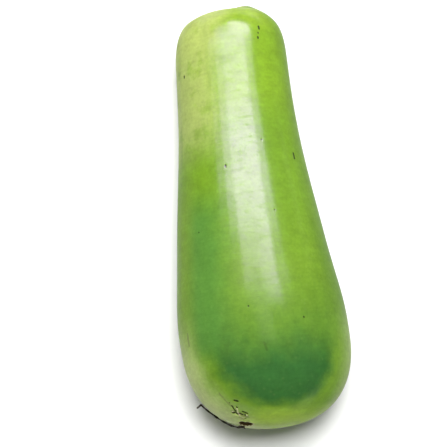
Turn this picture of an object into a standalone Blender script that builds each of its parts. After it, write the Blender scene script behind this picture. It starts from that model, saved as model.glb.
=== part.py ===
"""Bottle gourd lying on its side: the fruit, the cut stub of its stalk and its withered flower thread.

The fruit is a long pear shape with a faint waist. Its outline is one formula: a neck that widens smoothly
into the belly, closed by a round cap at the blossom end and a blunt one at the stalk end. The outline is
turned round a slightly bowed axis, given three very low lobes, and laid down until belly and neck both
touch the ground.
"""

import math

import bmesh
import bpy
from mathutils import Matrix, Vector

# Driving dimensions in metres. A share is a distance from the blossom end divided by LENGTH.
LENGTH = 0.255
BELLY_RADIUS = 0.050
NECK_RADIUS = 0.0337
TAPER_CENTRE = 0.532  # share where the neck has widened half way to the belly
TAPER_SPREAD = 0.239  # share over which it widens
SWELL_HEIGHT = 0.0020  # extra fullness of the belly
SWELL_CENTRE = 0.25
SWELL_SPREAD = 0.10
BLOSSOM_CAP = 0.19  # share of the length that rounds off at the blossom end
BLOSSOM_CAP_POWER = 2.3
STALK_CAP = 0.147
STALK_CAP_POWER = 3.68
BOW = -0.0031  # how far the middle of the axis bows sideways
LOBES = 3
LOBE_DEPTH = 0.008  # share of the radius
LOBE_TURN = math.radians(90)  # a lobe on top leaves a flatter side to lie on

COLLAR_OFFSET = 0.0097  # the raised collar round the stalk sits beside the axis
COLLAR_HEIGHT = 0.0035
COLLAR_FLAT = 0.0056  # radius of its level top
COLLAR_SPREAD = 0.0073  # how far it falls away beyond that
SHOULDER_OFFSET = -0.0245  # a low swelling of the shoulder on the other side of the axis
SHOULDER_HEIGHT = 0.0017
SHOULDER_SPREAD = 0.0085
SOCKET_RADIUS = 0.0050
SOCKET_DEPTH = 0.0024
GAP = 0.0003  # between neighbouring pieces

STUB_RIDGES = 5
STUB_RIDGE_DEPTH = 0.05  # share of the stub's radius
STUB_PROUD = 0.0008  # how far the cut face stands above the collar
STUB_CUT_EDGE = 0.0004

THREAD_RADIUS = 0.00045
THREAD_STANDOFF = 0.0011  # from the skin to the middle of the thread
THREAD_ROOT = (0.0137, math.radians(158))  # share and angle where it leaves the blossom scar
THREAD_BEND = (0.0770, math.radians(181))  # where it turns away from the skin
THREAD_SAG = math.radians(22)  # how far its middle hangs below the straight way between them
THREAD_BEND_ALONG = 0.82  # share of the thread's points that follow the skin
THREAD_CREEP = 1.6  # above 1 it goes round the end first and up the flank later
THREAD_HOOK_LENGTH = 0.0034  # how far the free tip stands off the skin

REST_FLATTENING = 0.0005  # how deep the weight of the fruit presses its lowest lines flat

RINGS = 46
RING_CROWDING = 0.6  # 0 spaces the rings evenly along the outline, 1 packs them against the ends
SEGMENTS = 48
OUTLINE_SAMPLES = 2000
STUB_SEGMENTS = 40
THREAD_POINTS = 22
NECK_SHARE = 0.7  # beyond this share the fruit belongs to the neck

SKIN_COLOUR = (0.22, 0.42, 0.07, 1.0)
STALK_COLOUR = (0.34, 0.29, 0.17, 1.0)
WITHERED_COLOUR = (0.02, 0.015, 0.01, 1.0)


def clear_scene():
    for item in list(bpy.data.objects):
        bpy.data.objects.remove(item)


def make_material(name, colour, roughness):
    material = bpy.data.materials.new(name)
    material.use_nodes = True
    surface = material.node_tree.nodes["Principled BSDF"]
    surface.inputs["Base Color"].default_value = colour
    surface.inputs["Roughness"].default_value = roughness
    surface.inputs["Metallic"].default_value = 0.0
    return material


def cap_factor(depth, cap, power):
    """Share of the full radius at a depth in from an end that rounds off over a cap."""
    if depth >= cap:
        return 1.0
    return (1 - (1 - depth / cap) ** power) ** (1 / power)


def outline_radius(share):
    taper = 0.5 * (1 - math.tanh((share - TAPER_CENTRE) / TAPER_SPREAD))
    swell = SWELL_HEIGHT * math.exp(-(((share - SWELL_CENTRE) / SWELL_SPREAD) ** 2))
    body = NECK_RADIUS + (BELLY_RADIUS - NECK_RADIUS) * taper + swell
    blossom = cap_factor(share, BLOSSOM_CAP, BLOSSOM_CAP_POWER)
    stalk = cap_factor(1 - share, STALK_CAP, STALK_CAP_POWER)
    return body * blossom * stalk


def stalk_end_rise(x, z):
    """Height that the collar and the swollen shoulder add at a place on the stalk end."""
    beyond = max(0.0, math.hypot(x - COLLAR_OFFSET, z) - COLLAR_FLAT)
    aside = math.hypot(x - SHOULDER_OFFSET, z) / SHOULDER_SPREAD
    collar = COLLAR_HEIGHT * math.exp(-((beyond / COLLAR_SPREAD) ** 2))
    return collar + SHOULDER_HEIGHT * math.exp(-(aside**2))


def skin_point(share, angle):
    """Point of the skin, with the axis along +Y, the middle of the length at the origin and +Z up."""
    radius = outline_radius(share) * (1 + LOBE_DEPTH * math.cos(LOBES * (angle - LOBE_TURN)))
    x = radius * math.cos(angle) + BOW * math.sin(math.pi * share)
    z = radius * math.sin(angle)
    y = (share - 0.5) * LENGTH
    if share > NECK_SHARE:
        y += stalk_end_rise(x, z)
    return Vector((x, y, z))


def ring_shares():
    """Shares of the rings, spaced along the outline and closer together near both ends."""
    shares = [0.5 - 0.5 * math.cos(math.pi * i / OUTLINE_SAMPLES) for i in range(OUTLINE_SAMPLES + 1)]
    travelled = [0.0]
    for before, after in zip(shares, shares[1:]):
        step = math.hypot((after - before) * LENGTH, outline_radius(after) - outline_radius(before))
        travelled.append(travelled[-1] + step)
    rings = []
    sample = 0
    for ring in range(1, RINGS):
        even = ring / RINGS
        crowded = even - RING_CROWDING * math.sin(2 * math.pi * even) / (2 * math.pi)
        while travelled[sample] < crowded * travelled[-1]:
            sample += 1
        rings.append(shares[sample])
    return rings


def skin_normal(share, angle):
    nudge = 0.001
    along = skin_point(share + nudge, angle) - skin_point(share - nudge, angle)
    around = skin_point(share, angle + nudge) - skin_point(share, angle - nudge)
    return along.cross(around).normalized()


def loft(bm, rings):
    """Join rings of vertices with quads, each ring facing the next."""
    for first, second in zip(rings, rings[1:]):
        for i in range(len(first)):
            j = (i + 1) % len(first)
            bm.faces.new((first[i], first[j], second[j], second[i]))


def close_with_point(bm, ring, point):
    tip = bm.verts.new(point)
    for i in range(len(ring)):
        bm.faces.new((ring[i], ring[(i + 1) % len(ring)], tip))


def finish_object(name, bm, material, parent):
    bmesh.ops.recalc_face_normals(bm, faces=bm.faces)
    mesh = bpy.data.meshes.new(name)
    bm.to_mesh(mesh)
    bm.free()
    mesh.materials.append(material)
    mesh.shade_smooth()
    mesh.set_sharp_from_angle(angle=math.radians(40))
    piece = bpy.data.objects.new(name, mesh)
    bpy.context.collection.objects.link(piece)
    piece.parent = parent
    return piece


def fruit_mesh():
    bm = bmesh.new()
    rings = []
    for share in ring_shares():
        angles = [2 * math.pi * i / SEGMENTS for i in range(SEGMENTS)]
        rings.append([bm.verts.new(skin_point(share, angle)) for angle in angles])
    loft(bm, rings)
    close_with_point(bm, rings[0], skin_point(0.0, 0.0))
    close_with_point(bm, rings[-1], skin_point(1.0, 0.0))
    return bm


def lowest(points, turn, neck):
    """Height of the lowest point of the neck, or of the belly, after a turn about X."""
    limit = (NECK_SHARE - 0.5) * LENGTH
    rotation = Matrix.Rotation(turn, 3, "X")
    return min((rotation @ point).z for point in points if (point.y > limit) == neck)


def lying_pose(points):
    """Turn and height at which belly and neck touch the ground together."""
    level, steep = 0.0, -math.radians(15)
    for _ in range(40):
        turn = 0.5 * (level + steep)
        if lowest(points, turn, neck=True) > lowest(points, turn, neck=False):
            level = turn
        else:
            steep = turn
    height = -lowest(points, turn, neck=False) - REST_FLATTENING
    return Matrix.Translation((0, 0, height)) @ Matrix.Rotation(turn, 4, "X")


def flatten_underside(bm, pose):
    """Cut the skin where it presses on the ground, and close the two small flats."""
    to_fruit = pose.inverted()
    ground = to_fruit @ Vector((0, 0, 0))
    up = to_fruit.to_3x3() @ Vector((0, 0, 1))
    everything = bm.verts[:] + bm.edges[:] + bm.faces[:]
    bmesh.ops.bisect_plane(bm, geom=everything, plane_co=ground, plane_no=up, clear_inner=True)
    bmesh.ops.holes_fill(bm, edges=[edge for edge in bm.edges if edge.is_boundary])


def make_socket_cutter(parent):
    """Round cutter for the shallow seat of the stalk, at the top of the collar."""
    bm = bmesh.new()
    middle = Matrix.Translation((COLLAR_OFFSET, collar_top(), 0))
    placed = middle @ Matrix.Rotation(math.radians(90), 4, "X")
    bmesh.ops.create_cone(
        bm, cap_ends=True, segments=STUB_SEGMENTS, radius1=SOCKET_RADIUS, radius2=SOCKET_RADIUS,
        depth=2 * SOCKET_DEPTH, matrix=placed,
    )
    cutter = finish_object("socket_cutter", bm, make_material("cutter", SKIN_COLOUR, 1.0), parent)
    cutter.hide_render = True
    cutter.display_type = "WIRE"
    return cutter


def collar_top():
    return LENGTH / 2 + COLLAR_HEIGHT


def make_fruit(bm, cutter, parent):
    fruit = finish_object("fruit", bm, make_material("skin", SKIN_COLOUR, 0.35), parent)
    socket = fruit.modifiers.new("socket", "BOOLEAN")
    socket.operation = "DIFFERENCE"
    socket.solver = "EXACT"
    socket.object = cutter
    return fruit


def stub_ring(bm, radius, y):
    ring = []
    for i in range(STUB_SEGMENTS):
        angle = 2 * math.pi * i / STUB_SEGMENTS
        ridged = radius * (1 - STUB_RIDGE_DEPTH * (0.5 - 0.5 * math.cos(STUB_RIDGES * angle)))
        ring.append(bm.verts.new((COLLAR_OFFSET + ridged * math.cos(angle), y, ridged * math.sin(angle))))
    return ring


def make_stub(parent):
    """Ridged stub of the stalk, cut almost level with the collar."""
    radius = SOCKET_RADIUS - GAP
    base = collar_top() - SOCKET_DEPTH + GAP
    top = collar_top() + STUB_PROUD
    bm = bmesh.new()
    outline = ((radius, base), (radius, top - STUB_CUT_EDGE), (radius - STUB_CUT_EDGE, top))
    rings = [stub_ring(bm, size, y) for size, y in outline]
    loft(bm, rings)
    bm.faces.new(rings[0])
    bm.faces.new(rings[-1])
    return finish_object("stem_stub", bm, make_material("stalk", STALK_COLOUR, 0.8), parent)


def thread_route():
    """Points from the blossom scar round the flank of the cap to a free hooked tip."""
    root_share, root_angle = THREAD_ROOT
    bend_share, bend_angle = THREAD_BEND
    route = []
    for i in range(THREAD_POINTS):
        along = i / (THREAD_POINTS - 1)
        crawl = min(1.0, along / THREAD_BEND_ALONG)
        hook = max(0.0, along - THREAD_BEND_ALONG) / (1 - THREAD_BEND_ALONG)
        share = root_share + (bend_share - root_share) * crawl**THREAD_CREEP
        angle = root_angle + (bend_angle - root_angle) * crawl + THREAD_SAG * math.sin(math.pi * crawl)
        lift = THREAD_STANDOFF + THREAD_HOOK_LENGTH * hook
        route.append(skin_point(share, angle) + lift * skin_normal(share, angle))
    return route


def make_thread(parent):
    """Dry, hooked remnant of the flower, as a round thread with closed ends."""
    curve = bpy.data.curves.new("blossom_remnant", "CURVE")
    curve.dimensions = "3D"
    curve.bevel_depth = THREAD_RADIUS
    curve.bevel_resolution = 2
    curve.use_fill_caps = True
    spline = curve.splines.new("POLY")
    route = thread_route()
    spline.points.add(len(route) - 1)
    for point, place in zip(spline.points, route):
        point.co = (*place, 1.0)
    curve.materials.append(make_material("withered_flower", WITHERED_COLOUR, 0.9))
    thread = bpy.data.objects.new("blossom_remnant", curve)
    bpy.context.collection.objects.link(thread)
    thread.parent = parent
    return thread


def stand_centred(carrier, pieces):
    """Move the whole gourd so that the middle of its box stands over the origin."""
    bpy.context.view_layer.update()
    graph = bpy.context.evaluated_depsgraph_get()
    points = []
    for piece in pieces:
        shown = piece.evaluated_get(graph)
        points += [shown.matrix_world @ vertex.co for vertex in shown.to_mesh().vertices]
        shown.to_mesh_clear()
    for axis in (0, 1):
        values = [point[axis] for point in points]
        carrier.location[axis] -= 0.5 * (min(values) + max(values))


def main():
    clear_scene()
    bm = fruit_mesh()
    pose = lying_pose([vertex.co.copy() for vertex in bm.verts])
    flatten_underside(bm, pose)
    carrier = bpy.data.objects.new("lying_gourd", None)
    bpy.context.collection.objects.link(carrier)
    carrier.matrix_world = pose
    fruit = make_fruit(bm, make_socket_cutter(carrier), carrier)
    stand_centred(carrier, [fruit, make_stub(carrier), make_thread(carrier)])


main()
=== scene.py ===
"""A bottle gourd lying on its side: waxy fruit, cut stub of the stalk and withered flower thread."""

import logging
import math
import random
from contextlib import contextmanager
from dataclasses import dataclass
from enum import Enum
from typing import Any, Iterator, Mapping, Sequence, Union

import bmesh
import bpy
import numpy as np
from mathutils import Matrix, Vector, noise


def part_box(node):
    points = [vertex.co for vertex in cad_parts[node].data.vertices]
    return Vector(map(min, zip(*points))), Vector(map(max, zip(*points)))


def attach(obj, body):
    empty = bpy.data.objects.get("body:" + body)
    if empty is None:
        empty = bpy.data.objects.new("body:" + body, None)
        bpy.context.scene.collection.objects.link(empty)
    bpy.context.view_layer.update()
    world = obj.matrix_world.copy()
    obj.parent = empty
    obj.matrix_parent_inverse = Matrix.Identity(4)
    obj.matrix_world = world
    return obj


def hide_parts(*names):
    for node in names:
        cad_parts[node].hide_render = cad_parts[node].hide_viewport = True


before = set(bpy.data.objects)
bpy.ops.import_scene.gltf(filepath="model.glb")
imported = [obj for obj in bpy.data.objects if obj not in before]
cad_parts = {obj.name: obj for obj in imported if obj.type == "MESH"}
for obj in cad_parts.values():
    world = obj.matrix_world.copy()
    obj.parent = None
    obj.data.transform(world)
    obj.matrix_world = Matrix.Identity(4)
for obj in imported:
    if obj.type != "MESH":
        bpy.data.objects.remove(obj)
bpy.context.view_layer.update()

LOG = logging.getLogger("gourd")
MM = 0.001
ROOT_BODY = "root"

Colour = tuple[float, float, float]
Number = Union[float, "Signal"]
Axes = tuple[Vector, Vector, Vector, Vector]
Settings = Union[Mapping[str, Any], None]
Inputs = Union[Mapping[Union[int, str], Any], None]


# Form --------------------------------------------------------


@dataclass(frozen=True)
class GourdForm:
    """Shape of the fruit in its own frame: axis along +Y, blossom end at -Y, half way along at the origin.

    A share is a distance from the blossom end divided by the length. An angle turns from +X towards +Z.
    """

    length: float = 0.255
    belly_radius: float = 0.050
    neck_radius: float = 0.0337
    taper_centre: float = 0.532
    taper_spread: float = 0.239
    swell_height: float = 0.0020
    swell_centre: float = 0.25
    swell_spread: float = 0.10
    blossom_cap: float = 0.19
    blossom_cap_power: float = 2.3
    stalk_cap: float = 0.147
    stalk_cap_power: float = 3.68
    bow: float = -0.0031
    lobes: int = 3
    lobe_depth: float = 0.008
    lobe_turn: float = math.radians(90)
    collar_offset: float = 0.0097
    collar_height: float = 0.0035
    collar_flat: float = 0.0056
    collar_spread: float = 0.0073
    shoulder_offset: float = -0.0245
    shoulder_height: float = 0.0017
    shoulder_spread: float = 0.0085
    neck_share: float = 0.7
    rest_flattening: float = 0.0005
    steepest: float = math.radians(15)

    @staticmethod
    def cap(depth: np.ndarray, cap: float, power: float) -> np.ndarray:
        """Factors from 0 at an end to 1 beyond the cap that rounds it off; a power of 2 is an ellipse."""
        inside = np.clip(1 - depth / cap, 0.0, 1.0)
        return (1 - inside**power) ** (1 / power)

    def outline(self, share: np.ndarray) -> np.ndarray:
        """Radius of the fruit at each share.

        Args:
            share: distances from the blossom end, as shares of the length.

        Returns:
            Radii in metres.
        """
        taper = 0.5 * (1 - np.tanh((share - self.taper_centre) / self.taper_spread))
        swell = self.swell_height * np.exp(-(((share - self.swell_centre) / self.swell_spread) ** 2))
        body = self.neck_radius + (self.belly_radius - self.neck_radius) * taper + swell
        blossom = self.cap(share, self.blossom_cap, self.blossom_cap_power)
        return body * blossom * self.cap(1 - share, self.stalk_cap, self.stalk_cap_power)

    def skin(self, share: np.ndarray, angle: np.ndarray) -> np.ndarray:
        """Points of the skin.

        Args:
            share: shares of the length, any shape.
            angle: angles about the axis, of the same shape.

        Returns:
            Points with a last axis of 3.
        """
        lobed = 1 + self.lobe_depth * np.cos(self.lobes * (angle - self.lobe_turn))
        radius = self.outline(share) * lobed
        x = radius * np.cos(angle) + self.bow * np.sin(math.pi * share)
        z = radius * np.sin(angle)
        beyond = np.maximum(0.0, np.hypot(x - self.collar_offset, z) - self.collar_flat)
        collar = self.collar_height * np.exp(-((beyond / self.collar_spread) ** 2))
        aside = np.hypot(x - self.shoulder_offset, z) / self.shoulder_spread
        stalk_end = collar + self.shoulder_height * np.exp(-(aside**2))
        y = (share - 0.5) * self.length + np.where(share > self.neck_share, stalk_end, 0.0)
        return np.stack([x, y, z], -1)

    def place(self, share: float, angle: float) -> tuple[Vector, Vector, Vector]:
        """Point, outward normal and direction round the fruit at one place of the skin.

        Args:
            share: share of the length.
            angle: angle about the axis.

        Returns:
            The point, the unit normal and the unit tangent towards larger angles.
        """
        nudge = 0.001
        shares = np.array([share, share - nudge, share + nudge, share, share])
        angles = np.array([angle, angle, angle, angle - nudge, angle + nudge])
        middle, before, after, under, over = (Vector(point) for point in self.skin(shares, angles))
        around = (over - under).normalized()
        return middle, (after - before).cross(around).normalized(), around

    def ring_shares(self, count: int, crowding: float) -> np.ndarray:
        """Shares of rings spaced along the outline and closer together near both ends.

        Args:
            count: how many steps from end to end.
            crowding: 0 for even steps, towards 1 for ever smaller steps at the ends.

        Returns:
            count - 1 shares, without the two ends.
        """
        fine = 0.5 - 0.5 * np.cos(np.linspace(0, math.pi, 40 * count))
        steps = np.hypot(np.diff(fine) * self.length, np.diff(self.outline(fine)))
        travelled = np.concatenate([[0.0], np.cumsum(steps)])
        even = np.arange(1, count) / count
        crowded = even - crowding * np.sin(2 * math.pi * even) / (2 * math.pi)
        return np.interp(crowded * travelled[-1], travelled, fine)

    @property
    def collar_top(self) -> float:
        """Place of the collar's level top along the axis."""
        return self.length / 2 + self.collar_height

    def lying_pose(self, low: Vector, high: Vector) -> Matrix:
        """Pose that lays the fruit down until belly and neck touch the ground together.

        Args:
            low: lowest corner of the fruit's box.
            high: highest corner of the fruit's box.

        Returns:
            Matrix from the fruit's own frame to the ground's.
        """
        rings, around = 160, 144
        shares = self.ring_shares(rings, 0.5)
        angles = np.linspace(0, 2 * math.pi, around, endpoint=False)
        points = self.skin(*np.meshgrid(shares, angles, indexing="ij")).reshape(-1, 3)
        neck = points[:, 1] > (self.neck_share - 0.5) * self.length
        level, steep, halvings = 0.0, -self.steepest, 40
        for _ in range(halvings):
            turn = 0.5 * (level + steep)
            height = points[:, 1] * math.sin(turn) + points[:, 2] * math.cos(turn)
            if height[neck].min() > height[~neck].min():
                level = turn
            else:
                steep = turn
        along = points[:, 1] * math.cos(turn) - points[:, 2] * math.sin(turn)
        shift = Vector((
            (low.x + high.x - points[:, 0].min() - points[:, 0].max()) / 2,
            (low.y + high.y - along.min() - along.max()) / 2,
            -height.min() - self.rest_flattening,
        ))
        return Matrix.Translation(shift) @ Matrix.Rotation(turn, 4, "X")


# Marks on the skin -------------------------------------------


class Tint(Enum):
    """Masks that the skin's finish reads, each a number from 0 to 1 at every point of the mesh."""

    CRACK = "crack"
    CORK = "cork"
    STAIN = "stain"
    SPECK = "speck"
    SCUFF = "scuff"


@dataclass(frozen=True)
class Stroke:
    """A short raised or sunken line in the plane that touches the skin at a patch's middle. Sizes in mm."""

    start: tuple[float, float]
    end: tuple[float, float]
    width: float
    rise: float
    tint: Tint
    strength: float = 1.0

    def shade(self, right: np.ndarray, up: np.ndarray) -> np.ndarray:
        """How much of the stroke lies at each place of the plane.

        Args:
            right: places across the patch, in mm.
            up: places along the patch, in mm.

        Returns:
            Numbers from 0 to 1 that fall off over the stroke's width.
        """
        run = (self.end[0] - self.start[0], self.end[1] - self.start[1])
        span = max(run[0] ** 2 + run[1] ** 2, 1e-9)
        part = np.clip(((right - self.start[0]) * run[0] + (up - self.start[1]) * run[1]) / span, 0, 1)
        away = np.hypot(right - self.start[0] - part * run[0], up - self.start[1] - part * run[1])
        return np.exp(-((away / (0.5 * self.width)) ** 2))


@dataclass(frozen=True)
class Patch:
    """A place on the skin with marks drawn in the plane that touches it there.

    Fields:
        along: distance from the blossom end in mm.
        angle: degrees about the axis.
        strokes: the marks.
        reach: radius in mm that the marks and the finer mesh cover.
        level: whether right is the world's +X instead of the direction round the fruit.
    """

    along: float
    angle: float
    strokes: tuple[Stroke, ...]
    reach: float = 3.0
    level: bool = False

    def axes(self, form: GourdForm) -> Axes:
        """Middle, right, up and out directions of the patch.

        Args:
            form: shape of the fruit.

        Returns:
            The middle point and three unit vectors.
        """
        middle, out, around = form.place(self.along * MM / form.length, math.radians(self.angle))
        if self.level:
            right = (Vector((1, 0, 0)) - out.x * out).normalized()
            return middle, right, out.cross(right), out
        return middle, -around, out.cross(-around), out


def speck(along: float, angle: float, size: float = 0.9, tall: float = 0.0, strength: float = 1.0) -> Patch:
    """A dark pit of the skin, drawn out along the axis where tall is above 0."""
    stroke = Stroke((0.0, -tall / 2), (0.0, tall / 2), size, -0.12, Tint.SPECK, strength)
    return Patch(along, angle, (stroke,), reach=1.6 * size + tall)


@dataclass(frozen=True)
class Crater:
    """The blossom scar: a round sunken corky disc with a low lip. Sizes in mm, angle in degrees."""

    along: float = 4.4
    angle: float = 140.0
    radius: float = 4.3
    depth: float = 1.4
    lip: float = 0.35
    lip_width: float = 0.9
    slant: float = 0.4
    rays: int = 11
    ray_height: float = 0.22
    knob_height: float = 0.7
    knob_share: float = 0.22

    def relief(self, right: np.ndarray, up: np.ndarray) -> tuple[np.ndarray, np.ndarray, np.ndarray]:
        """Rise, stain and cork of the crater at each place of its plane.

        Args:
            right: places across, in mm.
            up: places along, in mm.

        Returns:
            The rise in mm, the stain mask and the cork mask.
        """
        up = up - self.slant * right
        turn = np.arctan2(up, right)
        edge = self.radius * (1 + 0.07 * np.sin(3 * turn + 1) + 0.05 * np.sin(7 * turn))
        reach = np.hypot(right, up) / edge
        hollow = -self.depth * np.clip(1 - reach**3, 0, 1)
        rays = self.ray_height * np.cos(self.rays * turn + 2 * reach) * np.clip(reach, 0, 1) * (reach < 1)
        knob = self.knob_height * np.exp(-((reach / self.knob_share) ** 2))
        lip = self.lip * np.exp(-(((reach - 1.12) * self.radius / self.lip_width) ** 2))
        stain = np.clip((1.04 - reach) / 0.14, 0, 1)
        cork = np.exp(-(((reach - 1.05) * self.radius / (0.7 * self.lip_width)) ** 2))
        return hollow + rays + knob + lip, stain, cork


# Meshes ------------------------------------------------------


def grid_faces(rows: int, columns: int) -> np.ndarray:
    """Quads that join rings of points, each ring closed on itself.

    Args:
        rows: how many rings.
        columns: how many points in a ring.

    Returns:
        Corner numbers of the quads.
    """
    ring, step = np.meshgrid(np.arange(rows - 1), np.arange(columns), indexing="ij")
    following = (step + 1) % columns
    corners = (ring * columns + step, ring * columns + following)
    further = ((ring + 1) * columns + following, (ring + 1) * columns + step)
    return np.stack([*corners, *further], -1).reshape(-1, 4)


def closed_loft(
    name: str, rings: np.ndarray, ends: tuple[Sequence[float], Sequence[float]]
) -> bpy.types.Mesh:
    """Mesh through rings of points, closed with a fan of triangles at both ends.

    Args:
        name: name of the mesh.
        rings: points of shape (rows, columns, 3).
        ends: the point before the first ring and the point after the last.

    Returns:
        The mesh, with its faces turned outwards.
    """
    rows, columns = rings.shape[:2]
    points = np.concatenate([rings.reshape(-1, 3), np.array(ends, float)])
    first, last = rows * columns, rows * columns + 1
    faces = grid_faces(rows, columns).tolist()
    top = (rows - 1) * columns
    for step in range(columns):
        following = (step + 1) % columns
        faces.append((first, following, step))
        faces.append((last, top + step, top + following))
    mesh = bpy.data.meshes.new(name)
    mesh.from_pydata(points.tolist(), [], faces)
    with opened(mesh) as work:
        bmesh.ops.recalc_face_normals(work, faces=work.faces)
    return mesh


@contextmanager
def opened(mesh: bpy.types.Mesh) -> Iterator[bmesh.types.BMesh]:
    """Let the faces of a mesh be edited, then put them back and shade it smooth.

    Args:
        mesh: the mesh to edit.

    Yields:
        Its faces, edges and vertices, free to change.
    """
    work = bmesh.new()
    work.from_mesh(mesh)
    yield work
    work.to_mesh(mesh)
    work.free()
    mesh.shade_smooth()


def surface_of(mesh: bpy.types.Mesh) -> tuple[np.ndarray, np.ndarray]:
    """Vertices of a mesh and their normals.

    Args:
        mesh: the mesh.

    Returns:
        Two arrays with a row for each vertex.
    """
    rows = []
    for items, field in ((mesh.vertices, "co"), (mesh.vertex_normals, "vector")):
        flat = np.empty(3 * len(items), np.float32)
        items.foreach_get(field, flat)
        rows.append(flat.reshape(-1, 3).astype(float))
    return rows[0], rows[1]


def put_corners(mesh: bpy.types.Mesh, points: np.ndarray) -> None:
    """Move the vertices of a mesh."""
    mesh.vertices.foreach_set("co", points.astype(np.float32).ravel())
    mesh.update()


def paint(mesh: bpy.types.Mesh, name: str, values: np.ndarray) -> None:
    """Store one number for each vertex under a name that a finish can read."""
    layer = mesh.attributes.new(name, "FLOAT", "POINT")
    layer.data.foreach_set("value", values.astype(np.float32))


def rumple(points: np.ndarray, wave: float, seed: float) -> np.ndarray:
    """Smooth noise from about -1 to 1 at each point, in bumps of a size in metres; seeds give patterns."""
    shift = Vector((seed, 2.3 * seed, -1.7 * seed))
    return np.array([noise.noise(Vector(point) / wave + shift) for point in points])


def smooth_step(values: np.ndarray, low: float, high: float) -> np.ndarray:
    """Smooth rise from 0 at low to 1 at high."""
    part = np.clip((values - low) / (high - low), 0, 1)
    return part * part * (3 - 2 * part)


def add_piece(mesh: bpy.types.Mesh, pose: Matrix, material: bpy.types.Material) -> bpy.types.Object:
    """Lay a mesh down on the ground and show it as a piece of the object.

    Args:
        mesh: the mesh, in the fruit's own frame.
        pose: matrix from that frame to the ground's.
        material: its finish.

    Returns:
        The new object.
    """
    mesh.transform(pose)
    mesh.materials.append(material)
    piece = bpy.data.objects.new(mesh.name, mesh)
    bpy.context.scene.collection.objects.link(piece)
    return piece


# Shader building ---------------------------------------------


class Signal:
    """A socket of a shader whose numbers can be used in Python sums."""

    def __init__(self, bench: "Bench", socket: bpy.types.NodeSocket) -> None:
        """Wrap a socket that belongs to a bench."""
        self.bench = bench
        self.socket = socket

    def _sum(self, operation: str, *values: Number) -> "Signal":
        """Add a Math node that takes the values in order."""
        return self.bench.signal("ShaderNodeMath", 0, {"operation": operation}, dict(enumerate(values)))

    def __add__(self, other: Number) -> "Signal":
        """Sum."""
        return self._sum("ADD", self, other)

    __radd__ = __add__

    def __sub__(self, other: Number) -> "Signal":
        """Difference."""
        return self._sum("SUBTRACT", self, other)

    def __rsub__(self, other: Number) -> "Signal":
        """Difference from a number."""
        return self._sum("SUBTRACT", other, self)

    def __mul__(self, other: Number) -> "Signal":
        """Product."""
        return self._sum("MULTIPLY", self, other)

    __rmul__ = __mul__

    def __truediv__(self, other: Number) -> "Signal":
        """Quotient."""
        return self._sum("DIVIDE", self, other)

    def __rtruediv__(self, other: Number) -> "Signal":
        """Quotient of a number."""
        return self._sum("DIVIDE", other, self)

    def at_least(self, other: Number) -> "Signal":
        """The larger of two numbers."""
        return self._sum("MAXIMUM", self, other)

    def rising(self, low: float, high: float) -> "Signal":
        """Smooth rise from 0 at low to 1 at high; a low above high gives a fall."""
        inputs = {"Value": self, "From Min": low, "From Max": high}
        return self.bench.signal("ShaderNodeMapRange", 0, {"interpolation_type": "SMOOTHSTEP"}, inputs)


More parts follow.
